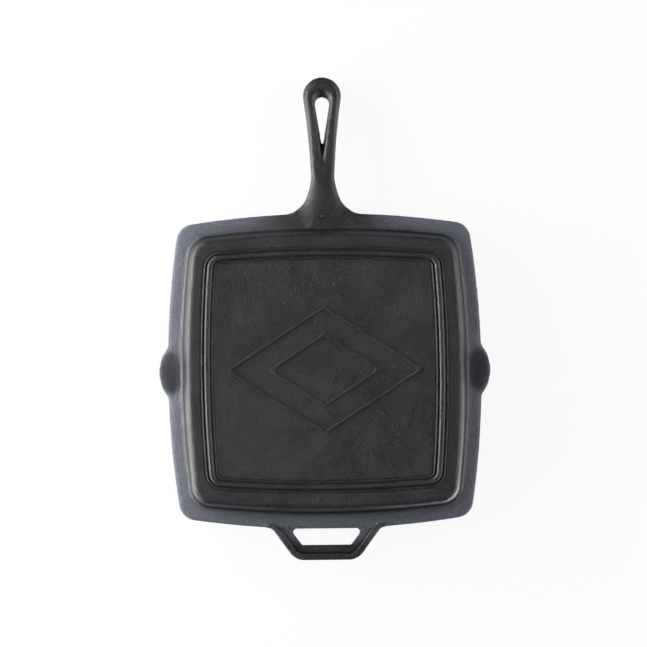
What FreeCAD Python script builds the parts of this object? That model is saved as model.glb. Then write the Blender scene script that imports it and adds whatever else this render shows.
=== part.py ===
"""Square cast iron skillet, in millimetres, in its pose of use.

+Z is up, +Y runs towards the main handle and the pan's pour spouts lie on -X and +X.
The origin is the middle of the pan, in the plane that the pan stands on.

The real skillet is one iron casting. Each region of it is written as its own closed solid, and
neighbouring regions meet face to face with no gap and no overlap.
"""

import FreeCAD, Part
import math
import os

V = FreeCAD.Vector
os.makedirs("parts", exist_ok=True)

# ---- heights above the surface that the pan stands on ----
base_z = 1.5            # flat underside between the ring and the wall
floor_thick = 4.8       # iron between the underside and the cooking surface
pan_depth = 39.7        # cooking surface to the top of the rim
floor_z = base_z + floor_thick
rim_z = floor_z + pan_depth
flange_edge_thick = 4.5     # at the outer edge of the flange
flange_root_thick = 6.4     # where the flange leaves the wall
edge_z = rim_z - flange_edge_thick
crease_z = rim_z - flange_root_thick

# ---- plan of the pan: four bowed sides with round corners ----
rim_half_x, rim_half_y = 152.6, 153.4
rim_bow, rim_corner = 870.0, 17.0
flange_inset_x, flange_inset_y = 18.6, 19.8     # from the flange's edge in to the foot of the wall
base_half_x, base_half_y = rim_half_x - flange_inset_x, rim_half_y - flange_inset_y
base_bow, base_corner = 1090.0, 17.0
wall_draft = 6.0                            # degrees that the wall leans outwards
wall_thick = 4.6
crease_bow, crease_corner = 960.0, 20.0
cavity_corner = 13.0

# ---- rounds ----
base_round = 5.0
cavity_round = 7.0
crease_round = 3.0
rim_round = 1.4
inner_rim_round = 2.2

# ---- heat ring under the base ----
ring_inset_x, ring_inset_y = 19.8, 20.0     # of the bead's middle, from the foot of the wall
ring_half_x, ring_half_y = base_half_x - ring_inset_x, base_half_y - ring_inset_y
ring_shift_y = 1.2                          # it was cast a little nearer the main handle
ring_bow, ring_corner = 1270.0, 10.8
bead_half, crest_half = 2.9, 1.1            # at its foot and at its flat crest
bead_ease = 0.3             # of the bead's side and of the groove's floor, inwards from their full width
crest_fall = 0.12           # of the crest's shoulders
groove_width, groove_depth = 1.4, 0.9
lip_width, lip_height, lip_ease = 1.5, 0.6, 0.4
lip_fall = 0.12             # of the lip's shoulders
ring_footing = 1.4                          # of the ring's own solid, in the floor

# ---- pour spouts ----
spout_reach = 9.3           # past the edge of the flange
spout_lip_radius = 34.0     # in plan
spout_root_round = 9.0
spout_shell = 4.3           # iron under the channel
spout_curve = 72.0          # radius of the outside of the channel
spout_fall = 7.5            # degrees that the channel falls outwards
spout_overlap = 0.3         # of the channel's root below the flange's crease
spout_root_half = math.sqrt(2 * spout_lip_radius * spout_reach - spout_reach**2)
spout_half_width = spout_root_half + 2.13   # of the channel's outside, where it meets the flange
spout_room_depth = 12.0     # of the room for the spout's iron, below the flange's crease
spout_top_z = rim_z - rim_round - 0.3   # of the iron added under the flange

# ---- main handle ----
handle_length = 132.5       # from the flange's edge to the tip
handle_reach = rim_half_y + handle_length
handle_end_radius = 18.6
neck_y, neck_half, neck_round = rim_half_y + 34.6, 11.6, 25.0
grip_y, grip_half = (neck_y + handle_reach) / 2 - 12.0, 13.7    # a little nearer the pan than half way
handle_root_half = 17.0             # of the spine, where it runs into the wall
flare_slope = 0.318                 # sideways for each mm towards the pan
flare_round = 22.0                  # between the flare and the flange's edge
flare_lap, flare_overrun = 0.9, 4.0     # of the web inside the flange's edge, and past the neck
root_under_z, neck_under_z = rim_z - 7.3, rim_z - 6.2
root_top_z, neck_thick = rim_z - 0.8, 11.5
handle_end_rise, handle_end_thick = 8.8, 13.0   # of its underside past the neck, and at the tip
upper_round, lower_round = 4.2, 3.4
parting_round = 1.1
parting_share = 0.5                 # of the thickness that lies under the parting line
parting_lap = 1.5                   # how far the lower half runs up inside the upper half
handle_foot_y = rim_half_y - 17.4   # where the spine starts, inside the wall
lower_end_inset, lower_side_inset, lower_neck_inset = 1.7, 0.9, 0.4
lower_tip_inset = 1.4               # of the lower half's end circle, towards the pan

# ---- hang hole: a teardrop, wide at both faces and narrow half way ----
hole_side_iron = 9.3        # left beside the hole at its widest, in both faces
hole_face_radius = handle_end_radius - hole_side_iron
hole_face_y, hole_face_tip_y = handle_reach - 22.1, neck_y + 10.7
hole_waist_radius = hole_face_radius - 2.7
hole_waist_y, hole_waist_tip_y = handle_reach - 26.9, neck_y + 33.5
hole_tip_radius = 0.6
hole_sink = 0.6             # of the waist below the middle of the handle's thickness
hole_overrun = 1.5          # of the cutter past both faces

# ---- helper handle ----
loop_reach = 30.3           # past the edge of the flange
loop_lean = 36.0            # degrees that its sides lean in
loop_far_half = 30.5        # half width at its far corners, before they are rounded
loop_corner, loop_foot_round = 18.0, 8.5
loop_lap, loop_overlap = 1.4, 3.0       # of its foot inside the flange's edge, and of its iron past the foot
window_bar, window_side = 14.7, 6.6     # of the loop past the window, at its far side and at its far corners
window_reach, window_far_half = loop_reach - window_bar, loop_far_half - window_side
window_corner = 3.4
window_lap = 0.3            # of the window inside the flange's edge
loop_plate = 3.6            # thickness of the flat inner plate
loop_rim_width = 6.8        # of the thick outer rim of the loop
loop_rim_drop = 2.8         # of that rim, below the plate
loop_round, window_round = 1.6, 1.0
loop_crease_width, loop_crease_depth = 1.2, 1.0  # of the groove between rim and plate
rabbet_width = 2.9          # of the step in the flange's lower edge along the window

# ---- nub left where the iron was poured ----
nub_radius, nub_inset, nub_height = 1.8, 2.7, 1.2   # inset from the flange's edge
nub_y = rim_half_y - nub_inset

# ---- plain raised lines under the floor: two lozenges, one inside the other ----
relief_half_x, relief_half_y = ring_half_x - 18.2, ring_half_y - 51.6
relief_gap = 22.0           # between the lozenges, square to their lines
relief_line, relief_height, relief_corner, relief_round = 2.4, 1.0, 3.0, 0.6

# ---- where the casting's regions meet ----
floor_past_ring_x, floor_past_ring_y = 9.3, 9.5     # of the floor's region past the bead's middle
floor_corner = 10.0
wall_top_z = crease_z - crease_round - 0.2
spout_inner_x = base_half_x + 6.5
spout_region_half = spout_half_width + 3.5
handle_seat_y, handle_seat_margin = rim_half_y - 5.8, 4.0   # the margin is past the flare's foot
loop_seat_y, loop_seat_margin = rim_half_y - 3.6, 8.0       # and past the loop's foot

# ---- room that cutters and regions have beyond the iron ----
OVERRUN = 1.0
FAR = 400.0


def bowed_square(half_x, half_y, bow, corner, z, shift_y=0.0):
    """Closed wire of four bowed sides and four corner arcs, all tangent to each other."""
    side_x, side_y = half_x - bow, half_y - bow     # centres of the +X and +Y side arcs
    reach = bow - corner
    share = side_x / side_y
    start = (side_y**2 - side_x**2) / (2 * side_y)
    a = 1 + share**2
    b = 2 * (start * share - side_x)
    c = side_x**2 + start**2 - reach**2
    cx = (-b + math.sqrt(b * b - 4 * a * c)) / (2 * a)
    cy = start + share * cx
    on_x = V(side_x + (cx - side_x) * bow / reach, cy * bow / reach, 0)
    on_y = V(cx * bow / reach, side_y + (cy - side_y) * bow / reach, 0)
    middle = (on_x + on_y) * 0.5 - V(cx, cy, 0)
    tip = V(cx, cy, 0) + middle.normalize() * corner

    def at(p, sx, sy):
        return V(p.x * sx, p.y * sy + shift_y, z)

    edges = []
    for sx, sy, swap in ((1, 1, False), (-1, 1, True), (-1, -1, False), (1, -1, True)):
        ends = [at(on_x, sx, sy), at(tip, sx, sy), at(on_y, sx, sy)]
        edges.append(ends[::-1] if swap else ends)
    sides = (V(0, half_y + shift_y, z), V(-half_x, shift_y, z),
             V(0, shift_y - half_y, z), V(half_x, shift_y, z))
    wire = []
    for i, ends in enumerate(edges):
        wire.append(Part.Arc(*ends).toShape())
        wire.append(Part.Arc(ends[2], sides[i], edges[(i + 1) % 4][0]).toShape())
    return Part.Wire(wire)


def prism(wire, height):
    return Part.Face(wire).extrude(V(0, 0, height))


def slab(x0, y0, z0, x1, y1, z1):
    return Part.makeBox(x1 - x0, y1 - y0, z1 - z0, V(x0, y0, z0))


def wall_lean(z):
    """How far the wall stands out from its foot at a height."""
    return (z - base_z) * math.tan(math.radians(wall_draft))


def edges_at(shape, z, tolerance=0.01):
    return [e for e in shape.Edges
            if abs(e.BoundBox.ZMin - z) < tolerance and abs(e.BoundBox.ZMax - z) < tolerance]


# ---- outlines of the pan at its three levels ----
def base_outline(z, grow=0.0):
    return bowed_square(base_half_x + grow, base_half_y + grow, base_bow, base_corner + grow, z)


def crease_outline(z, grow=0.0):
    lean = wall_lean(crease_z) + grow
    return bowed_square(base_half_x + lean, base_half_y + lean, crease_bow, crease_corner + grow, z)


def rim_outline(z, grow=0.0):
    return bowed_square(rim_half_x + grow, rim_half_y + grow, rim_bow, rim_corner + grow, z)


def loft(*wires):
    return Part.makeLoft(list(wires), True, True)


def upright_edges(shape, height):
    return [e for e in shape.Edges if e.BoundBox.ZLength > height]


# ---- body: walls, flange and spouts ----
def wall_block():
    block = loft(base_outline(base_z), crease_outline(crease_z))
    return block.makeFillet(base_round, edges_at(block, base_z))


def rim_plan_block():
    """The flange's plan with both spout lips, deep enough to hold the spouts."""
    low = crease_z - spout_room_depth
    block = prism(rim_outline(low), rim_z - low)
    for side in (-1, 1):
        centre = V(side * (rim_half_x + spout_reach - spout_lip_radius), 0, low)
        block = block.fuse(Part.makeCylinder(spout_lip_radius, rim_z - low, centre))
    block = block.removeSplitter()
    roots = [e for e in upright_edges(block, spout_room_depth) if abs(e.BoundBox.Center.x) > rim_half_x - 5
             and 5 < abs(e.BoundBox.Center.y) < spout_half_width + 5]
    block = block.makeFillet(spout_root_round, roots)
    return block.makeFillet(rim_round, edges_at(block, rim_z))


def above_flange_underside():
    """All the room above the sloping underside of the flange."""
    spread = 2 * spout_reach
    run = rim_half_x - base_half_x - wall_lean(crease_z)
    high = crease_z + (edge_z - crease_z) * (run + spread) / run
    wide = rim_outline(high, spread)
    return loft(crease_outline(crease_z), wide).fuse(prism(wide, rim_z - high + OVERRUN))


def flange_block(plan):
    """Walls and flange as one block, rounded in the crease and along the flange's lower edge."""
    block = wall_block().fuse(plan.common(above_flange_underside())).removeSplitter()
    block = block.makeFillet(crease_round, edges_at(block, crease_z))
    lower = [e for e in block.Edges if crease_z + 1.5 < e.BoundBox.ZMin
             and e.BoundBox.ZMax < rim_z - rim_round - 0.1
             and e.BoundBox.ZLength < 1.6 and e.Length > 0.5]
    return block.makeFillet(rim_round, lower)


def spout_cylinder(side, radius):
    """The outside or the inside of a pour channel, which falls outwards from the wall."""
    fall = math.radians(spout_fall)
    along = V(side * math.cos(fall), 0, -math.sin(fall))
    crease_x = base_half_x + wall_lean(crease_z)
    middle = V(side * crease_x, 0, crease_z - spout_overlap + spout_curve / math.cos(fall))
    return Part.makeCylinder(radius, 120, middle - along * 40, along)


def spout_block(plan):
    """The left hand pour spout before its channel is cut."""
    inner = base_half_x - wall_thick
    box = slab(-FAR, -spout_half_width, 0, -inner, spout_half_width, spout_top_z)
    block = plan.common(box).common(spout_cylinder(-1, spout_curve))
    lip = [e for e in block.Edges if abs(e.BoundBox.Center.x) > rim_half_x - 1
           and base_z < e.BoundBox.ZMin and e.BoundBox.ZMax < edge_z + 0.5 and e.Length > 1]
    return block.makeFillet(rim_round, lip)


def cavity():
    top_z = rim_z + OVERRUN
    lean_floor, lean_rim = wall_lean(floor_z) - wall_thick, wall_lean(top_z) - wall_thick
    low = bowed_square(base_half_x + lean_floor, base_half_y + lean_floor, base_bow, cavity_corner, floor_z)
    top = bowed_square(base_half_x + lean_rim, base_half_y + lean_rim, crease_bow, cavity_corner + 2, top_z)
    room = loft(low, top)
    return room.makeFillet(cavity_round, edges_at(room, floor_z))


# ---- heat ring ----
def ring_arcs():
    """Centre, start angle and sweep of each arc of the bead's middle line, with its radius."""
    found = []
    for edge in bowed_square(ring_half_x, ring_half_y, ring_bow, ring_corner, base_z, ring_shift_y).Edges:
        circle = edge.Curve
        ends = [edge.valueAt(t) for t in (edge.FirstParameter, edge.LastParameter)]
        angles = [math.degrees(math.atan2(p.y - circle.Center.y, p.x - circle.Center.x)) for p in ends]
        sweep = (angles[1] - angles[0] + 180) % 360 - 180
        start = angles[0] if sweep > 0 else angles[1]
        found.append((circle.Center, start, abs(sweep), circle.Radius))
    return found


def swept_along_ring(profile):
    """A closed profile of (distance out from the bead's middle, height) taken once round the ring."""
    whole = None
    for centre, start, sweep, radius in ring_arcs():
        points = [V(centre.x + radius + out, centre.y, height) for out, height in profile]
        face = Part.Face(Part.makePolygon(points + points[:1]))
        piece = face.revolve(V(centre.x, centre.y, 0), V(0, 0, 1), sweep)
        piece.rotate(V(centre.x, centre.y, 0), V(0, 0, 1), start)
        whole = piece if whole is None else whole.fuse(piece)
    return whole.removeSplitter()


def ring_profile():
    """The bead between two grooves, each with a low lip on its far side, from inside to outside."""
    lip = bead_half + groove_width
    lip_z = base_z - lip_height
    half = [(crest_half, 0.0), (crest_half + bead_ease, crest_fall),
            (bead_half - bead_ease, base_z - bead_ease),
            (bead_half, base_z + groove_depth), (lip - bead_ease, base_z + groove_depth),
            (lip, lip_z + lip_fall), (lip + lip_ease, lip_z), (lip + lip_width - lip_ease, lip_z + lip_fall),
            (lip + lip_width, base_z)]
    foot = [(lip + lip_width, base_z + ring_footing)]
    return [(-out, height) for out, height in (half + foot)[::-1]] + half + foot


def ring_slot_profile():
    out = bead_half + groove_width + lip_width
    foot_z = base_z + ring_footing
    return [(-out, -OVERRUN), (out, -OVERRUN), (out, foot_z), (-out, foot_z)]


# ---- main handle ----
def plan_arc(*points):
    return Part.Arc(*[V(x, y, 0) for x, y in points]).toShape()


def plan_line(a, b):
    return Part.makeLine(V(*a, 0), V(*b, 0))


def mirrored_loop(right_side):
    """Closed wire of a right hand side, from its foot to its far end, and its mirror image."""
    left = [e.mirror(V(0, 0, 0), V(1, 0, 0)) for e in right_side]
    ends = [right_side[0].firstVertex().Point, right_side[-1].lastVertex().Point]
    edges = list(right_side) + left
    for p in ends:
        if abs(p.x) > 1e-6:
            edges.append(Part.makeLine(p, V(-p.x, p.y, 0)))
    return Part.Wire(Part.__sortEdges__(edges))


def waist_arc(neck, grip, end_radius, end_y):
    """Arc from the neck through the grip, tangent to the end circle."""
    a, b, end = V(neck, neck_y, 0), V(grip, grip_y, 0), V(0, end_y, 0)
    middle, half = (a + b) * 0.5, (b - a).Length / 2
    outwards = V(b.y - a.y, a.x - b.x, 0).normalize()
    p = ((middle - end).Length**2 - half**2 - end_radius**2) / (2 * end_radius)
    q = (middle - end).dot(outwards) / end_radius
    along = (-p * q - math.sqrt((p * q)**2 - (q * q - 1) * (p * p - half**2))) / (q * q - 1)
    centre = middle + outwards * along
    meet = end + (centre - end).normalize() * end_radius
    return Part.Arc(a, b, meet).toShape(), meet


def spine_plan(root, neck, grip, end_radius, end_y):
    """Plan of the handle without its flare: a waist, a swelling grip and a round end."""
    waist, meet = waist_arc(neck, grip, end_radius, end_y)
    turn = (math.pi / 2 + math.atan2(meet.y - end_y, meet.x)) / 2
    on_end = (end_radius * math.sin(turn), end_y + end_radius * math.cos(turn))
    side = [plan_line((root, handle_foot_y), (neck, neck_y)), waist,
            plan_arc((meet.x, meet.y), on_end, (0, end_y + end_radius))]
    return mirrored_loop(side)


def side_arc(z_root, z_neck, z_tip):
    points = ((handle_foot_y, z_root), (neck_y, z_neck), (handle_reach + 2, z_tip))
    return Part.Arc(*[V(0, y, z) for y, z in points])


def between(low, high):
    """A wide block between two arcs seen from the side."""
    ends = [Part.makeLine(low.EndPoint, high.EndPoint), Part.makeLine(low.StartPoint, high.StartPoint)]
    outline = Part.Wire(Part.__sortEdges__([low.toShape(), high.toShape()] + ends))
    return Part.Face(outline).extrude(V(60, 0, 0)).translated(V(-30, 0, 0))


def half_of_spine(plan_wire, low, high):
    block = prism(plan_wire, 120).common(between(low, high))
    necks = [e for e in block.Edges if e.BoundBox.YLength < 0.1 and abs(e.BoundBox.Center.y - neck_y) < 1
             and e.BoundBox.XLength < 0.1]
    return block.makeFillet(neck_round, necks)


def long_edges(block, surface):
    """The edges of a half of the spine that lie on its top or its underside, seen as an arc from the side."""
    found = []
    for e in block.Edges:
        p = e.valueAt((e.FirstParameter + e.LastParameter) / 2)
        if e.BoundBox.YLength > 0.5 and surface.toShape().distToShape(Part.Vertex(0, p.y, p.z))[0] < 0.05:
            found.append(e)
    return found


def spine():
    tip_under = neck_under_z + handle_end_rise
    under = side_arc(root_under_z, neck_under_z, tip_under)
    top = side_arc(root_top_z, neck_under_z + neck_thick, tip_under + handle_end_thick)
    parting = side_arc(root_under_z + (root_top_z - root_under_z) * parting_share,
                       neck_under_z + neck_thick * parting_share,
                       tip_under + handle_end_thick * parting_share)
    lapped = side_arc(root_under_z + (root_top_z - root_under_z) * parting_share + parting_lap,
                      neck_under_z + neck_thick * parting_share + parting_lap,
                      tip_under + handle_end_thick * parting_share + parting_lap)
    end_y = handle_reach - handle_end_radius
    outer_plan = spine_plan(handle_root_half, neck_half, grip_half, handle_end_radius, end_y)
    upper = half_of_spine(outer_plan, parting, top)
    upper = upper.makeFillet(upper_round, long_edges(upper, top))
    upper = upper.makeFillet(parting_round, long_edges(upper, parting))
    lower = half_of_spine(spine_plan(handle_root_half - lower_neck_inset, neck_half - lower_neck_inset,
                                     grip_half - lower_side_inset, handle_end_radius - lower_end_inset,
                                     end_y - lower_tip_inset), under, lapped)
    lower = lower.makeFillet(lower_round, long_edges(lower, under))
    return upper.fuse(lower).removeSplitter()


def flare_foot():
    """How far along the flange the flare's corner and its round reach, and the round's own share."""
    corner_x = neck_half + flare_slope * (neck_y - rim_half_y + flare_lap)
    reach = flare_round * math.tan(math.atan2(1, flare_slope) / 2)
    return corner_x + reach, reach


def flare_web():
    """The thin web that spreads the handle onto the flange, at the flange's own level."""
    edge_y = rim_half_y - flare_lap
    foot_x, reach = flare_foot()
    on_edge = V(foot_x, edge_y, 0)
    on_flare = V(foot_x - reach, edge_y, 0) + V(-flare_slope, 1, 0).normalize() * reach
    centre = on_edge + V(0, flare_round, 0)
    middle = centre + ((on_edge + on_flare) * 0.5 - centre).normalize() * flare_round
    inside = (neck_half - flare_slope * flare_overrun, neck_y + flare_overrun)
    start = (on_edge.x, edge_y - flare_overrun)
    side = [plan_line(start, (on_edge.x, edge_y)), Part.Arc(on_edge, middle, on_flare).toShape(),
            plan_line((on_flare.x, on_flare.y), inside)]
    block = prism(mirrored_loop(side), rim_z - edge_z).translated(V(0, 0, edge_z))
    sides = [e for e in edges_at(block, edge_z) + edges_at(block, rim_z)
             if e.BoundBox.YMax > edge_y + 0.1 and e.BoundBox.YLength > 1]
    return block.makeFillet(rim_round, sides)


def teardrop(radius, y, tip_y, z):
    """Closed wire round a large circle and a small one at its tip."""
    small_y = tip_y + hole_tip_radius
    lean = math.asin((radius - hole_tip_radius) / (y - small_y))
    out, down = math.cos(lean), math.sin(lean)
    big = (radius * out, y - radius * down)
    small = (hole_tip_radius * out, small_y - hole_tip_radius * down)
    big_left, small_left = (-big[0], big[1]), (-small[0], small[1])
    wire = Part.Wire([plan_arc(big, (0, y + radius), big_left), plan_line(big_left, small_left),
                      plan_arc(small_left, (0, small_y - hole_tip_radius), small), plan_line(small, big)])
    return wire.translated(V(0, 0, z))


def hang_hole():
    """The teardrop's cutter: two drafted halves that meet at its waist, leaning with the handle."""
    waist = (hole_waist_radius, hole_waist_y, hole_waist_tip_y)
    face = (hole_face_radius, hole_face_y, hole_face_tip_y)
    half = handle_end_thick / 2
    steep = 1 + hole_overrun / half
    past = [w + (f - w) * steep for w, f in zip(waist, face)]
    cutter = None
    for side in (-1, 1):
        drop = loft(teardrop(*waist, 0), teardrop(*past, side * (half + hole_overrun)))
        cutter = drop if cutter is None else cutter.fuse(drop)
    middle_y = (hole_face_y + hole_face_tip_y) / 2
    rise, run = handle_end_rise + (handle_end_thick - neck_thick) / 2, handle_reach - neck_y
    middle_z = neck_under_z + neck_thick / 2 + (middle_y - neck_y) * rise / run
    cutter.translate(V(0, 0, middle_z - hole_sink))
    cutter.rotate(V(0, middle_y, middle_z), V(1, 0, 0), math.degrees(math.atan2(rise, run)))
    return cutter


# ---- helper handle ----
def loop_side(inset):
    """Right hand side of the loop's outline, or of one that lies a distance inside it."""
    lean = math.radians(loop_lean)
    far_y = -(rim_half_y + loop_reach - inset)
    far_x = loop_far_half - inset * (1 - math.sin(lean)) / math.cos(lean)
    corner = max(loop_corner - inset, window_round)
    short = corner * math.tan((math.pi / 2 - lean) / 2)
    up = V(math.sin(lean), math.cos(lean), 0)
    on_far = V(far_x - short, far_y, 0)
    on_side = V(far_x, far_y, 0) + up * short
    centre = on_far + V(0, corner, 0)
    middle = centre + ((on_far + on_side) * 0.5 - centre).normalize() * corner
    edge_y = -rim_half_y + loop_lap
    root = V(far_x + (edge_y - far_y) * math.tan(lean), edge_y, 0)
    tangent = loop_foot_round * math.tan((math.pi / 2 - lean) / 2)
    on_edge = root + V(tangent, 0, 0)
    leaving = root - up * tangent
    root_centre = on_edge - V(0, loop_foot_round, 0)
    root_middle = root_centre + ((on_edge + leaving) * 0.5 - root_centre).normalize() * loop_foot_round
    start = on_edge + V(0, loop_overlap, 0)
    return [Part.makeLine(start, on_edge), Part.Arc(on_edge, root_middle, leaving).toShape(),
            Part.makeLine(leaving, on_side), Part.Arc(on_side, middle, on_far).toShape()]


def loop_prism(inset, low, height):
    """A block with the loop's outline, or with one that lies a distance inside it."""
    return prism(mirrored_loop(loop_side(inset)), height).translated(V(0, 0, low))


def window_prism():
    """The opening for the fingers, a trapezoid with round corners."""
    near_y, far_y = -rim_half_y + window_lap, -(rim_half_y + window_reach)
    near_x = window_far_half + (near_y - far_y) * math.tan(math.radians(loop_lean))
    corners = [V(near_x, near_y, 0), V(-near_x, near_y, 0)]
    corners += [V(-window_far_half, far_y, 0), V(window_far_half, far_y, 0)]
    block = prism(Part.makePolygon(corners + corners[:1]), 2 * rim_z)
    return block.makeFillet(window_corner, upright_edges(block, rim_z))


def helper_loop():
    """A flat plate with a thick rim round its outside and a window for the fingers."""
    plate_z = rim_z - loop_plate
    rim_low = plate_z - loop_rim_drop
    rim = loop_prism(0, rim_low, loop_rim_drop + OVERRUN).cut(loop_prism(loop_rim_width, 0, rim_z))
    crease = loop_prism(loop_rim_width, plate_z, loop_crease_depth)
    crease = crease.cut(loop_prism(loop_rim_width + loop_crease_width, plate_z, loop_crease_depth))
    crease = crease.common(slab(-FAR, -FAR, 0, FAR, -rim_half_y + window_lap, FAR))
    rim = rim.fuse(loop_prism(0, plate_z, loop_plate)).removeSplitter().cut(crease)
    past_edge = [e for e in rim.Edges if e.BoundBox.YMin < -rim_half_y and e.BoundBox.ZLength < 0.01
                 and e.BoundBox.YMax < -rim_half_y + loop_lap + 0.1]
    lower = [e for e in past_edge if e.BoundBox.ZMin < plate_z - 0.5]
    top = [e for e in past_edge if e.BoundBox.ZMin > rim_z - 0.1]
    loop = rim.makeFillet(loop_round, lower + top).cut(window_prism())
    widest = window_far_half + window_reach * math.tan(math.radians(loop_lean))
    window_edge = [e for e in edges_at(loop, plate_z) if abs(e.BoundBox.Center.x) < widest
                   and -rim_half_y - window_reach - 0.1 < e.BoundBox.YMin < -rim_half_y - 0.5]
    return loop.makeFillet(window_round, window_edge)


def window_rabbet():
    """The step along the window that carries the plate's level into the flange."""
    half = window_far_half + (window_reach + rabbet_width) * math.tan(math.radians(loop_lean))
    return slab(-half, -rim_half_y - OVERRUN, 0, half, -rim_half_y + rabbet_width, rim_z - loop_plate)


# ---- small features ----
def nub():
    """A low dome under the root of the main handle, carried up into the iron."""
    under_z = side_arc(root_under_z, neck_under_z, neck_under_z + handle_end_rise).toShape()
    spot = Part.makeLine(V(0, nub_y, 0), V(0, nub_y, rim_z))
    surface_z = spot.distToShape(under_z)[1][0][0].z
    dome = (nub_radius**2 + nub_height**2) / (2 * nub_height)
    return Part.makeSphere(dome, V(0, nub_y, surface_z - nub_height + dome))


def lozenge(half_x, half_y):
    """A lozenge with round corners, as tall as the raised lines."""
    points = [V(half_x, 0, 0), V(0, half_y, 0), V(-half_x, 0, 0), V(0, -half_y, 0)]
    block = prism(Part.makePolygon(points + points[:1]), relief_height)
    block = block.makeFillet(relief_corner, upright_edges(block, relief_height / 2))
    return block.translated(V(0, ring_shift_y, base_z - relief_height))


def raised_line(start):
    """A plain lozenge outline that lies a distance inside the outer one."""
    distance = relief_half_x * relief_half_y / math.hypot(relief_half_x, relief_half_y)
    shares = [1 - inset / distance for inset in (start, start + relief_line)]
    outer, inner = [lozenge(relief_half_x * share, relief_half_y * share) for share in shares]
    line = outer.cut(inner)
    return line.makeFillet(relief_round, edges_at(line, base_z - relief_height))


# ---- the casting, and its regions ----
def casting():
    plan = rim_plan_block()
    left = flange_block(plan).common(slab(-FAR, -FAR, 0, 0, FAR, FAR)).fuse(spout_block(plan))
    whole = left.fuse(left.mirror(V(0, 0, 0), V(1, 0, 0))).removeSplitter()
    whole = whole.cut(window_rabbet()).cut(cavity())
    lean = wall_lean(rim_z)
    inner_rim = [e for e in edges_at(whole, rim_z) if abs(e.BoundBox.Center.x) < base_half_x + lean
                 and abs(e.BoundBox.Center.y) < base_half_y + lean]
    whole = whole.makeFillet(inner_rim_round, inner_rim)
    whole = whole.fuse([spine(), flare_web(), helper_loop()]).cut(cavity())
    whole = whole.cut([spout_cylinder(side, spout_curve - spout_shell) for side in (-1, 1)])
    whole = whole.cut([hang_hole(), window_prism()])
    return whole.cut(swept_along_ring(ring_slot_profile()))


def regions():
    """The rooms that divide the casting, in the order in which they take their share of it."""
    half_x, half_y = ring_half_x + floor_past_ring_x, ring_half_y + floor_past_ring_y
    floor_room = prism(bowed_square(half_x, half_y, base_bow, floor_corner, 0), floor_z + base_round)
    handle_half = flare_foot()[0] + handle_seat_margin
    loop_half = loop_side(0)[0].firstVertex().Point.x + loop_seat_margin
    return [
        ("main_handle", slab(-handle_half, handle_seat_y, 0, handle_half, FAR, FAR)),
        ("helper_handle", slab(-loop_half, -FAR, 0, loop_half, -loop_seat_y, FAR)),
        ("pour_spout_left", slab(-FAR, -spout_region_half, 0, -spout_inner_x, spout_region_half, FAR)),
        ("pour_spout_right", slab(spout_inner_x, -spout_region_half, 0, FAR, spout_region_half, FAR)),
        ("pan_floor", floor_room),
        ("rim_flange", slab(-FAR, -FAR, wall_top_z, FAR, FAR, FAR)),
        ("side_wall", slab(-FAR, -FAR, 0, FAR, FAR, wall_top_z)),
    ]


def main():
    whole = casting()
    nodes = {}
    for name, room in regions():
        nodes[name] = whole.common(room)
        whole = whole.cut(room)
    nodes["gate_nub"] = nub().cut(nodes["main_handle"])
    nodes["heat_ring"] = swept_along_ring(ring_profile())
    nodes["lozenge_outer"] = raised_line(0)
    nodes["lozenge_inner"] = raised_line(relief_gap)
    for name, shape in nodes.items():
        shape.exportStep(f"parts/{name}.step")
        print(name, len(shape.Solids), "solids", round(shape.Volume), "mm3, valid:", shape.isValid())


main()
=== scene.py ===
import bmesh
import bpy
import math
import numpy as np
from mathutils import Matrix, Vector
from mathutils import noise as grain_noise


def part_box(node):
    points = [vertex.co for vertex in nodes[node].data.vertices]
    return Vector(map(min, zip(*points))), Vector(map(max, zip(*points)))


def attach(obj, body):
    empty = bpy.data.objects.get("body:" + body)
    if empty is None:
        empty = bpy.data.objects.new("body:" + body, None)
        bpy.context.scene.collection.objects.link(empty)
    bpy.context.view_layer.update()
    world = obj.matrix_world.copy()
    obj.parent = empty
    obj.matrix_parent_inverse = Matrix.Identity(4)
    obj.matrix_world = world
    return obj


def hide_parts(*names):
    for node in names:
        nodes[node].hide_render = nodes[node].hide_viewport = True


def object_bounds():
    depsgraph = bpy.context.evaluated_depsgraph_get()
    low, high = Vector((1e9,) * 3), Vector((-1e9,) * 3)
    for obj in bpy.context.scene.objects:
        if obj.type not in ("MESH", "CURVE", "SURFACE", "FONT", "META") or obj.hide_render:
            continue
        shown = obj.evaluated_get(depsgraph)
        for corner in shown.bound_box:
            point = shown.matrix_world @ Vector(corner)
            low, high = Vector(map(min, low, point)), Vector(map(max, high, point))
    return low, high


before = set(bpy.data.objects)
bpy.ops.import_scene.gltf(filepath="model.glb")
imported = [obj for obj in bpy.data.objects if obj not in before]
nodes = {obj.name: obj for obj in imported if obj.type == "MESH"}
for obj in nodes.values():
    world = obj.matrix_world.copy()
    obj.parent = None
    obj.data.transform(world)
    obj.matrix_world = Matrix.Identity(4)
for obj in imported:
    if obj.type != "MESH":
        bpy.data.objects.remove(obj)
cad_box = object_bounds()
scene = bpy.context.scene


# ---- small helpers for node trees ----
class Tree:
    """A material's or the world's node tree, with short ways to add to it."""

    def __init__(self, owner):
        owner.use_nodes = True
        self.tree = owner.node_tree
        self.tree.nodes.clear()

    def add(self, kind, **values):
        node = self.tree.nodes.new(kind)
        for name, value in values.items():
            setattr(node, name, value)
        return node

    def link(self, source, target):
        self.tree.links.new(source, target)


def feed(tree, socket, value):
    """Links a socket to another one, or gives it a plain value."""
    if hasattr(value, "is_output"):
        tree.link(value, socket)
    else:
        socket.default_value = value


def arithmetic(tree, operation, first, second=0.0):
    node = tree.add("ShaderNodeMath", operation=operation)
    feed(tree, node.inputs[0], first)
    feed(tree, node.inputs[1], second)
    return node.outputs[0]


def product(tree, first, second):
    return arithmetic(tree, "MULTIPLY", first, second)


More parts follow.
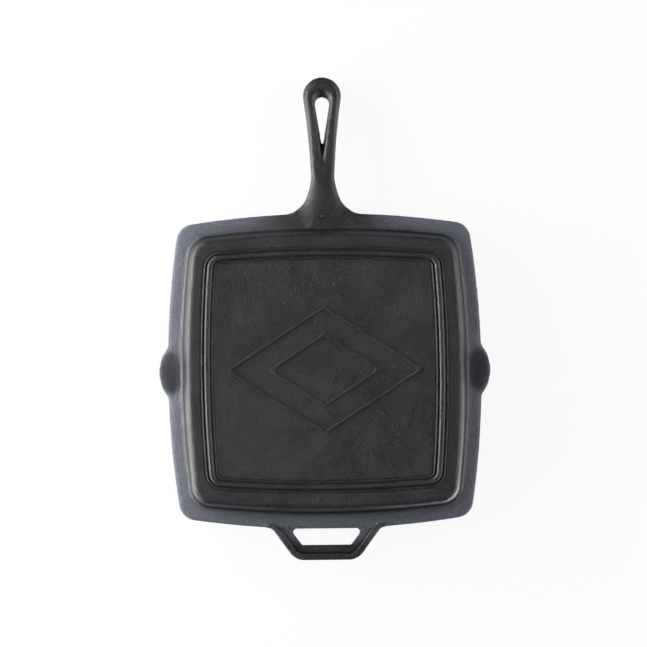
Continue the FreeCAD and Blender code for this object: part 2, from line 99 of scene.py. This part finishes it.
def size_of(tree, value):
    return arithmetic(tree, "ABSOLUTE", value)


def remap(tree, value, low, high, new_low=0.0, new_high=1.0):
    node = tree.add("ShaderNodeMapRange", interpolation_type="SMOOTHSTEP")
    for socket, given in zip(node.inputs, (value, low, high, new_low, new_high)):
        feed(tree, socket, given)
    return node.outputs[0]


def noise(tree, place, scale, detail, roughness):
    node = tree.add("ShaderNodeTexNoise", noise_dimensions="3D")
    tree.link(place, node.inputs["Vector"])
    node.inputs["Scale"].default_value = scale
    node.inputs["Detail"].default_value = detail
    node.inputs["Roughness"].default_value = roughness
    return node.outputs["Fac"]


def blend(tree, share, first, second):
    node = tree.add("ShaderNodeMix", data_type="RGBA")
    feed(tree, node.inputs[0], share)
    feed(tree, node.inputs[6], first)
    feed(tree, node.inputs[7], second)
    return node.outputs[2]


# ---- seasoned iron ----
def seasoned_iron():
    """Sand-cast iron under baked oil: near black, finely grained, a little glossy and unevenly so."""
    material = bpy.data.materials.new("seasoned_iron")
    tree = Tree(material)
    place = tree.add("ShaderNodeTexCoord").outputs["Object"]
    split = tree.add("ShaderNodeSeparateXYZ")
    tree.link(place, split.inputs[0])
    shader = tree.add("ShaderNodeBsdfPrincipled")
    output = tree.add("ShaderNodeOutputMaterial")
    tree.link(shader.outputs[0], output.inputs["Surface"])
    sand = noise(tree, place, 1250.0, 1.0, 0.5)
    grain = noise(tree, place, 480.0, 2.0, 0.6)
    patch = noise(tree, place, 28.0, 4.0, 0.6)
    cloud = noise(tree, place, 8.0, 3.0, 0.5)
    # the iron itself, and its brown patches
    grain_part, sand_part = product(tree, grain, 0.4), product(tree, sand, 0.6)
    height = arithmetic(tree, "ADD", grain_part, sand_part)
    dark = remap(tree, height, 0.43, 0.60)
    colour = blend(tree, dark, (0.0008, 0.0007, 0.0014, 1), (0.019, 0.0170, 0.0245, 1))
    warm = remap(tree, cloud, 0.50, 0.70, 0.0, 0.28)
    colour = blend(tree, warm, colour, (0.036, 0.023, 0.019, 1))
    # painted reflection: a lighter, bluish tone on the rim's underside that stands in for the sky and lamps
    # reflected there; it fades at the main handle and on the spouts
    across, along, up = split.outputs
    across_size, along_size = size_of(tree, across), size_of(tree, along)
    above_wall = remap(tree, up, 0.0384, 0.0412)
    below_top = remap(tree, up, 0.0455, 0.0435)
    painted_rim_sheen = product(tree, above_wall, below_top)
    painted_rim_sheen = product(tree, painted_rim_sheen, remap(tree, along_size, 0.172, 0.158))
    at_handle = product(tree, remap(tree, along, 0.134, 0.142), remap(tree, across_size, 0.085, 0.030))
    painted_rim_sheen = product(tree, painted_rim_sheen, arithmetic(tree, "SUBTRACT", 1.0, at_handle))
    at_spout = product(tree, remap(tree, across_size, 0.139, 0.144), below_top)
    painted_rim_sheen = arithmetic(tree, "MAXIMUM", painted_rim_sheen, product(tree, at_spout, 0.55))
    facing = tree.add("ShaderNodeSeparateXYZ")
    tree.link(tree.add("ShaderNodeNewGeometry").outputs["Normal"], facing.inputs[0])
    # the painted reflection is kept to faces that turn downwards
    painted_rim_sheen = product(tree, painted_rim_sheen, remap(tree, facing.outputs[2], 0.1, -0.2))
    # the painted reflection's lighter bluish colour, grained like the iron
    painted_sheen_tone = blend(tree, dark, (0.115, 0.126, 0.157, 1), (0.200, 0.213, 0.262, 1))
    colour = blend(tree, product(tree, painted_rim_sheen, 0.9), colour, painted_sheen_tone)
    tree.link(colour, shader.inputs["Base Color"])
    # the sand-rough outer edge of the flange, which bows out along the pan's sides
    bow = product(tree, product(tree, along, along), 0.575)
    outwards = arithmetic(tree, "ADD", across_size, bow)
    edge = product(tree, remap(tree, outwards, 0.1500, 0.1512), remap(tree, along_size, 0.158, 0.154))
    uneven = remap(tree, patch, 0.3, 0.7, 0.33, 0.47)
    rough = arithmetic(tree, "ADD", uneven, product(tree, edge, 0.4))
    tree.link(rough, shader.inputs["Roughness"])
    shader.inputs["Specular IOR Level"].default_value = 0.9
    bump = tree.add("ShaderNodeBump")
    bump.inputs["Strength"].default_value = 0.8
    bump.inputs["Distance"].default_value = 0.0012
    tree.link(height, bump.inputs["Height"])
    tree.link(bump.outputs[0], shader.inputs["Normal"])
    return material


# ---- the casting's skin ----
# The CAD regions of the pan are one casting. They are joined into one closed surface, and the places where
# they run into each other are made soft as a sand casting is. The surface is then divided into its regions
# again.
voxel = 0.00112             # side of the skin's quads, in metres like all that follow
skin_nodes = ["pan_floor", "side_wall", "rim_flange", "pour_spout_left", "pour_spout_right", "main_handle"]
floor_low, floor_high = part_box("pan_floor")
rim_low, rim_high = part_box("rim_flange")
handle_low, handle_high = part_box("main_handle")
loop_low, loop_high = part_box("helper_handle")
spout_low, spout_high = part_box("pour_spout_right")
floor_half = 0.100          # half the side of the floor's own piece
floor_room_top = 0.012      # which lies below this
flat_half = 0.122           # half the side of the square in which the floor stays flat
flat_below = 0.009          # and both its faces lie below this
same_place = 1e-5           # points this near each other are taken as one
same_plane = 2e-6           # and points this near a plane as on it
wall_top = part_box("side_wall")[1].z


def joined(names):
    """One mesh that holds several CAD nodes."""
    builder = bmesh.new()
    for name in names:
        builder.from_mesh(nodes[name].data)
    mesh = bpy.data.meshes.new("joined")
    builder.to_mesh(mesh)
    builder.free()
    return mesh


def remeshed(mesh):
    """The same shape as one closed skin of small, even quads."""
    holder = bpy.data.objects.new("remesh", mesh)
    scene.collection.objects.link(holder)
    modifier = holder.modifiers.new("remesh", "REMESH")
    modifier.mode = "VOXEL"
    modifier.voxel_size = voxel
    graph = bpy.context.evaluated_depsgraph_get()
    result = bpy.data.meshes.new_from_object(holder.evaluated_get(graph))
    bpy.data.objects.remove(holder)
    return result


def read(collection, name, kind, width):
    """One property of every item of a mesh's collection, as an array with a row for each item."""
    values = np.empty(len(collection) * width, kind)
    collection.foreach_get(name, values)
    return values.reshape(-1, width)


def step(values, low, high):
    """0 below low, 1 above high and smooth between them; high may be the smaller one."""
    share = np.clip((values - low) / (high - low), 0, 1)
    return share * share * (3 - 2 * share)


def softness(place, normal):
    """How freely each point of the skin moves towards its neighbours, from 0 to 1."""
    least = 0.03
    x, y, z = np.abs(place[:, 0]), place[:, 1], place[:, 2]
    # the rim's own outline stays, so that the pan keeps its size
    outline = (np.abs(normal[:, 2]) < 0.75) & (z > 0.0410) & (z < rim_high.z + 0.0004) & (y < 0.176)
    # the main handle's root runs into the flange
    root = step(y, 0.139, 0.147) * step(y, 0.200, 0.172) * step(x, 0.060, 0.048)
    root = np.where(outline, np.maximum(least, 0.7 * step(y, 0.156, 0.172)), root)
    # each spout runs into the wall
    spout = step(x, 0.132, 0.139) * step(np.abs(y), 0.040, 0.033)
    spout *= step(z, 0.0445, 0.0425) * step(z, 0.030, 0.034)
    spout = np.where(outline & (x > 0.151), 0.02, spout * 0.3)
    # the wall meets the flange
    crease = step(z, 0.0345, 0.0365) * step(z, 0.0425, 0.0410)
    crease *= step(np.maximum(x, np.abs(y)), 0.133, 0.136) * 0.1
    # nothing moves where the helper handle's own piece begins
    seam = step(y, loop_high.y - 0.001, loop_high.y + 0.006)
    return np.maximum.reduce([root, spout, crease, np.full(len(x), least)]) * np.where(y < 0, seam, 1)


def relax(place, ends, freedom, rounds):
    """Moves each point towards the middle of its neighbours, as far as its freedom lets it."""
    count = np.bincount(ends.ravel(), minlength=len(place))[:, None]
    first, second = ends[:, 0], ends[:, 1]
    for _ in range(rounds):
        total = np.empty_like(place)
        for axis in range(3):
            total[:, axis] = (np.bincount(first, place[second, axis], len(place))
                              + np.bincount(second, place[first, axis], len(place)))
        place = place + 0.5 * freedom[:, None] * (total / count - place)
    return place


def waviness(place):
    """The slow unevenness of a surface that was cast in sand, in metres."""
    return np.array([0.00011 * grain_noise.noise(p * 60) + 0.00005 * grain_noise.noise(p * 170)
                     for p in map(Vector, place)])


skin = remeshed(joined(skin_nodes + ["helper_handle"]))
place = read(skin.vertices, "co", np.float32, 3).astype(float)
ends = read(skin.edges, "vertices", np.int64, 2)
normal = read(skin.vertex_normals, "vector", np.float32, 3)
place = relax(place, ends, softness(place, normal), rounds=100)
flat = (np.maximum(np.abs(place[:, 0]), np.abs(place[:, 1])) < flat_half) & (place[:, 2] < flat_below)
skin.vertices.foreach_set("co", place.astype(np.float32).ravel())
skin.update()
normal = read(skin.vertex_normals, "vector", np.float32, 3)
calm = step(np.maximum(np.abs(place[:, 0]), np.abs(place[:, 1])), flat_half - 0.001, flat_half + 0.006)
calm = np.where(place[:, 2] < flat_below, calm, 1)
calm *= step(place[:, 1], loop_high.y + 0.001, loop_high.y + 0.008)
place += normal * (waviness(place) * calm)[:, None]
for level in (floor_low.z, floor_high.z):
    place[flat & (np.abs(place[:, 2] - level) < 0.0001), 2] = level
skin.vertices.foreach_set("co", place.astype(np.float32).ravel())
skin.update()

# Each border is a plane that divides the skin within a room: its place, its direction and the room.
far = 1.0
borders = [
    ((0, handle_low.y, 0), (0, 1, 0), (-handle_high.x, -far, 0, handle_high.x, far, far)),
    ((handle_high.x, 0, 0), (1, 0, 0), (-far, handle_low.y, 0, far, 0.16, far)),
    ((-handle_high.x, 0, 0), (1, 0, 0), (-far, handle_low.y, 0, far, 0.16, far)),
    ((0, loop_high.y, 0), (0, 1, 0), (-loop_high.x, -far, 0, loop_high.x, far, far)),
    ((loop_high.x, 0, 0), (1, 0, 0), (-far, -far, 0, far, loop_high.y, far)),
    ((-loop_high.x, 0, 0), (1, 0, 0), (-far, -far, 0, far, loop_high.y, far)),
    ((0, 0, wall_top), (0, 0, 1), (-far, -far, 0, far, far, far)),
]
for side in (-1, 1):
    spout_room = (-far, -spout_high.y, wall_top, far, spout_high.y, far)
    borders.append(((side * spout_low.x, 0, 0), (1, 0, 0), spout_room))
    borders.append(((0, side * spout_high.y, 0), (0, 1, 0), (spout_low.x, -far, wall_top, far, far, far)))
    borders.append(((0, side * spout_high.y, 0), (0, 1, 0), (-far, -far, wall_top, -spout_low.x, far, far)))
    room = (-far, -floor_half, 0, far, floor_half, floor_room_top)
    borders.append(((side * floor_half, 0, 0), (1, 0, 0), room))
    room = (-floor_half, -far, 0, floor_half, far, floor_room_top)
    borders.append(((0, side * floor_half, 0), (0, 1, 0), room))


def region_of(middle):
    """The number of the region that each face lies in, by the face's middle."""
    x, y, z = middle.T
    in_handle = (y > handle_low.y) & (np.abs(x) < handle_high.x)
    in_loop = (y < loop_high.y) & (np.abs(x) < loop_high.x)
    in_spout = (np.abs(x) > spout_low.x) & (np.abs(y) < spout_high.y) & (z > wall_top)
    in_floor = (np.abs(x) < floor_half) & (np.abs(y) < floor_half) & (z < floor_room_top)
    rest = np.where(z > wall_top, skin_nodes.index("rim_flange"), skin_nodes.index("side_wall"))
    left, right = skin_nodes.index("pour_spout_left"), skin_nodes.index("pour_spout_right")
    handle, loop = skin_nodes.index("main_handle"), len(skin_nodes)
    pan_floor = skin_nodes.index("pan_floor")
    return np.select([in_handle, in_loop, in_spout & (x < 0), in_spout & (x > 0), in_floor],
                     [handle, loop, left, right, pan_floor], rest)


def divide(mesh):
    """Adds an edge to the skin wherever a border crosses it."""
    builder = bmesh.new()
    builder.from_mesh(mesh)
    builder.faces.ensure_lookup_table()
    middle = np.array([f.calc_center_median() for f in builder.faces])
    reach = 2 * voxel
    close = np.zeros(len(middle), bool)
    for point, along, room in borders:
        off = np.abs((middle - point) @ np.array(along)) < reach
        above = (middle > np.array(room[:3]) - reach).all(1)
        close |= off & above & (middle < np.array(room[3:]) + reach).all(1)
    pool = set(builder.faces[i] for i in np.flatnonzero(close))
    for point, along, room in borders:
        low, high = Vector(room[:3]), Vector(room[3:])
        chosen = []
        for face in pool:
            c = face.calc_center_median()
            inside = all(low[i] - reach < c[i] < high[i] + reach for i in range(3))
            if inside and abs((c - Vector(point)).dot(Vector(along))) < reach:
                chosen.append(face)
        parts = set(chosen)
        for face in chosen:
            parts.update(face.edges)
            parts.update(face.verts)
        made = bmesh.ops.bisect_plane(builder, geom=list(parts), dist=1e-6, plane_co=point, plane_no=along)
        pool.update(item for item in made["geom"] if isinstance(item, bmesh.types.BMFace))
        pool = {face for face in pool if face.is_valid}
    bmesh.ops.triangulate(builder, faces=[f for f in builder.faces if len(f.verts) > 4])
    builder.to_mesh(mesh)
    builder.free()


corner_places = [(side * handle_high.x, handle_low.y) for side in (-1, 1)]
corner_places += [(side * loop_high.x, loop_high.y) for side in (-1, 1)]
for side in (-1, 1):
    corner_places += [(side * spout_low.x, spout_high.y), (side * spout_low.x, -spout_high.y)]
    corner_places += [(side * floor_half, floor_half), (side * floor_half, -floor_half)]
floor_room = (-floor_half, -floor_half, 0, floor_half, floor_half, floor_room_top)
floor_faces = [((0, 0, floor_low.z), (0, 0, -1), floor_room), ((0, 0, floor_high.z), (0, 0, 1), floor_room)]


def filled(place, edges, corners, plane):
    """Triangles that close the skin's edges on one plane, as the numbers of their points."""
    point, along, room = plane
    axis = int(np.argmax(np.abs(along)))
    inside = ((place > np.array(room[:3]) - same_place) & (place < np.array(room[3:]) + same_place)).all(1)
    on_it = inside & (np.abs(place[:, axis] - point[axis]) < same_plane)
    pairs = [tuple(e) for e in edges[on_it[edges].all(1)]] + [c for c in corners if on_it[list(c)].all()]
    filler = bmesh.new()
    here = {index: filler.verts.new(place[index]) for index in sorted({i for pair in pairs for i in pair})}
    back = {vertex: index for index, vertex in here.items()}
    for first, second in pairs:
        if filler.edges.get((here[first], here[second])) is None:
            filler.edges.new((here[first], here[second]))
    bmesh.ops.triangle_fill(filler, edges=filler.edges, use_beauty=False, normal=along)
    found = []
    for face in filler.faces:
        numbers = [back[vertex] for vertex in face.verts]
        facing = np.cross(place[numbers[1]] - place[numbers[0]], place[numbers[2]] - place[numbers[0]])
        found.append(numbers if facing @ np.array(along) > 0 else numbers[::-1])
    filler.free()
    return found


def caps_of(place, edges, corners):
    """The cuts across the iron, as faces for the regions on both sides of each."""
    caps = [[] for _ in range(len(skin_nodes) + 1)]
    for plane in borders:
        faces = filled(place, edges, corners, plane)
        if not faces:
            continue
        middle = place[np.array(faces)].mean(1)
        small_way = 0.00005
        shift = np.array(plane[1]) * small_way
        below, above = region_of(middle - shift), region_of(middle + shift)
        for face, low, high in zip(faces, below, above):
            if low != high:
                caps[low].append(face)
                caps[high].append(face[::-1])
    return caps


def floor_fans(place, edges, hubs):
    """The flat underside and top of the floor's own piece, as fans round a point in their middle."""
    found = []
    for hub, (point, along, room) in zip(hubs, floor_faces):
        inside = (np.abs(place[:, :2]) < floor_half + same_place).all(1)
        inside &= np.abs(place[:, 2] - point[2]) < same_plane
        upwards = along[2] > 0
        for first, second in edges[inside[edges].all(1)]:
            turn = np.cross(place[first, :2], place[second, :2])
            face = [first, second, hub] if (turn > 0) == upwards else [second, first, hub]
            found.append(face)
    return found


def piece_from(name, place, normal, faces, surface_count):
    """A closed piece from numbered faces; the first ones belong to the skin and keep its normals."""
    flat_list = np.array([i for face in faces for i in face])
    numbers, loops = np.unique(flat_list, return_inverse=True)
    sizes = np.array([len(face) for face in faces])
    mesh = bpy.data.meshes.new(name)
    mesh.vertices.add(len(numbers))
    mesh.vertices.foreach_set("co", place[numbers].astype(np.float32).ravel())
    mesh.loops.add(len(loops))
    mesh.loops.foreach_set("vertex_index", loops.ravel().astype(np.int32))
    mesh.polygons.add(len(faces))
    mesh.polygons.foreach_set("loop_start", np.concatenate(([0], np.cumsum(sizes)[:-1])).astype(np.int32))
    mesh.update(calc_edges=True)
    mesh.validate()
    own = normal[flat_list].copy()
    cap_loops = sizes[:surface_count].sum()
    face_normal = read(mesh.polygons, "normal", np.float32, 3)
    own[cap_loops:] = np.repeat(face_normal[surface_count:], sizes[surface_count:], axis=0)
    mesh.normals_split_custom_set(own)
    piece = bpy.data.objects.new(name, mesh)
    scene.collection.objects.link(piece)
    return piece


def skin_pieces(mesh):
    """One closed piece for each region, with the whole skin's normals, so that no border shows."""
    place = read(mesh.vertices, "co", np.float32, 3).astype(float)
    normal = read(mesh.vertex_normals, "vector", np.float32, 3)
    starts = read(mesh.polygons, "loop_start", np.int64, 1)[:, 0]
    totals = read(mesh.polygons, "loop_total", np.int64, 1)[:, 0]
    loops = read(mesh.loops, "vertex_index", np.int64, 1)[:, 0]
    loop_edges = read(mesh.loops, "edge_index", np.int64, 1)[:, 0]
    edge_ends = read(mesh.edges, "vertices", np.int64, 2)
    owner = np.repeat(np.arange(len(starts)), totals)
    middle = np.stack([np.bincount(owner, place[loops, axis]) for axis in range(3)], 1) / totals[:, None]
    region = region_of(middle)
    pairs = np.argsort(loop_edges, kind="stable").reshape(-1, 2)
    shared = region[owner[pairs[:, 0]]] != region[owner[pairs[:, 1]]]
    border_edges = edge_ends[loop_edges[pairs[shared, 0]]]
    used = np.unique(border_edges)
    corners = []
    for x, y in corner_places:
        near = used[(np.abs(place[used, 0] - x) < same_place) & (np.abs(place[used, 1] - y) < same_place)]
        if len(near) == 2:
            corners.append(tuple(near))
    caps = caps_of(place, border_edges, corners)
    hubs = len(place) + np.arange(2)
    place = np.vstack([place] + [plane[0] for plane in floor_faces])
    normal = np.vstack([normal] + [plane[1] for plane in floor_faces])
    caps[0] += floor_fans(place, border_edges, hubs)
    made = {}
    for number, name in enumerate(skin_nodes):
        own = np.flatnonzero(region == number) if number else []
        faces = [loops[starts[i]:starts[i] + totals[i]].tolist() for i in own]
        made[name] = piece_from(name + "_skin", place, normal, faces + caps[number], len(faces))
    return made


divide(skin)
pieces = skin_pieces(skin)
for name, piece in pieces.items():
    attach(piece, "root")
    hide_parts(name)
bpy.data.meshes.remove(skin)

iron = seasoned_iron()
for node in list(nodes.values()) + list(pieces.values()):
    node.data.materials.clear()
    node.data.materials.append(iron)


# ---- stage: a floor that is seen from above, and a backdrop that is seen from below ----
def one_sided(name, glow, colour):
    """Pale, with a glow of its own, and clear from behind, so that it hides nothing."""
    material = bpy.data.materials.new(name)
    tree = Tree(material)
    surface = tree.add("ShaderNodeBsdfDiffuse")
    surface.inputs["Color"].default_value = (colour, colour, colour, 1)
    light = tree.add("ShaderNodeEmission")
    light.inputs["Strength"].default_value = glow
    pale = tree.add("ShaderNodeAddShader")
    tree.link(surface.outputs[0], pale.inputs[0])
    tree.link(light.outputs[0], pale.inputs[1])
    clear = tree.add("ShaderNodeBsdfTransparent")
    side = tree.add("ShaderNodeNewGeometry").outputs["Backfacing"]
    mix = tree.add("ShaderNodeMixShader")
    output = tree.add("ShaderNodeOutputMaterial")
    tree.link(side, mix.inputs[0])
    tree.link(pale.outputs[0], mix.inputs[1])
    tree.link(clear.outputs[0], mix.inputs[2])
    tree.link(mix.outputs[0], output.inputs["Surface"])
    return material


def sheet(name, height, faces_up, material):
    """A wide square that only the camera sees, so that its glow lights nothing."""
    reach = 25.0
    corners = [(-reach, -reach), (reach, -reach), (reach, reach), (-reach, reach)]
    corners = [(x, y, height) for x, y in corners]
    mesh = bpy.data.meshes.new(name)
    mesh.from_pydata(corners if faces_up else corners[::-1], [], [(0, 1, 2, 3)])
    mesh.materials.append(material)
    piece = bpy.data.objects.new(name, mesh)
    scene.collection.objects.link(piece)
    piece.visible_diffuse = False
    piece.visible_glossy = False
    piece.visible_transmission = False
    piece.visible_shadow = False


sheet("floor", 0.0, True, one_sided("pale_floor", 0.84, 0.16))
sheet("backdrop", cad_box[1].z + 0.004, False, one_sided("pale_backdrop", 0.90, 0.12))

# ---- light ----
world = bpy.data.worlds.new("studio")
scene.world = world
tree = Tree(world)
direction = tree.add("ShaderNodeSeparateXYZ")
tree.link(tree.add("ShaderNodeTexCoord").outputs["Generated"], direction.inputs[0])
sideways = arithmetic(tree, "POWER", size_of(tree, direction.outputs[0]), 2.0)
overhead = remap(tree, direction.outputs[2], 0.1, 0.8)
strength = arithmetic(tree, "MULTIPLY_ADD", sideways, 0.4)
strength.node.inputs[2].default_value = 0.08
strength = arithmetic(tree, "ADD", strength, product(tree, overhead, 0.35))
soft = tree.add("ShaderNodeBackground")
soft.inputs["Color"].default_value = (0.93, 0.96, 1.0, 1)
tree.link(strength, soft.inputs["Strength"])
white = tree.add("ShaderNodeBackground")
white.inputs["Color"].default_value = (1, 1, 1, 1)
mix = tree.add("ShaderNodeMixShader")
tree.link(tree.add("ShaderNodeLightPath").outputs["Is Camera Ray"], mix.inputs[0])
tree.link(soft.outputs[0], mix.inputs[1])
tree.link(white.outputs[0], mix.inputs[2])
tree.link(mix.outputs[0], tree.add("ShaderNodeOutputWorld").inputs["Surface"])


def lamp(name, place, width, height, power):
    data = bpy.data.lights.new(name, "AREA")
    data.shape = "RECTANGLE"
    data.size = width
    data.size_y = height
    data.energy = power
    piece = bpy.data.objects.new(name, data)
    scene.collection.objects.link(piece)
    piece.location = place
    aim = Vector((0, 0.03, 0.02))
    piece.rotation_euler = (aim - Vector(place)).to_track_quat("-Z", "Y").to_euler()
    piece.visible_camera = False


lamp("side_left", (1.15, 0.15, -0.24), 1.8, 0.45, 35)
lamp("side_right", (-1.15, 0.05, -0.24), 1.8, 0.45, 11)
lamp("under_left", (0.9, 0.35, -1.2), 0.6, 0.6, 3)
lamp("over_left", (-1.1, -0.9, 1.5), 1.2, 1.2, 28)
lamp("over_right", (1.3, -0.4, 1.3), 1.2, 1.2, 14)

# ---- camera, straight below and square to the floor ----
picture_width = 0.6285
distance = 12.0
turn = math.radians(0.62)
middle = Vector((0.0008, 0.0462, 0.03))
camera = bpy.data.objects.new("camera", bpy.data.cameras.new("camera"))
scene.collection.objects.link(camera)
scene.camera = camera
right = Vector((-math.cos(turn), -math.sin(turn), 0))
up = Vector((-math.sin(turn), math.cos(turn), 0))
back = right.cross(up)
turned = Matrix((right, up, back)).transposed().to_4x4()
camera.matrix_world = Matrix.Translation(middle + back * distance) @ turned
camera.data.lens = camera.data.sensor_width * distance / picture_width
camera.data.clip_start = 0.1
camera.data.clip_end = 40.0

scene.view_settings.view_transform = "Standard"
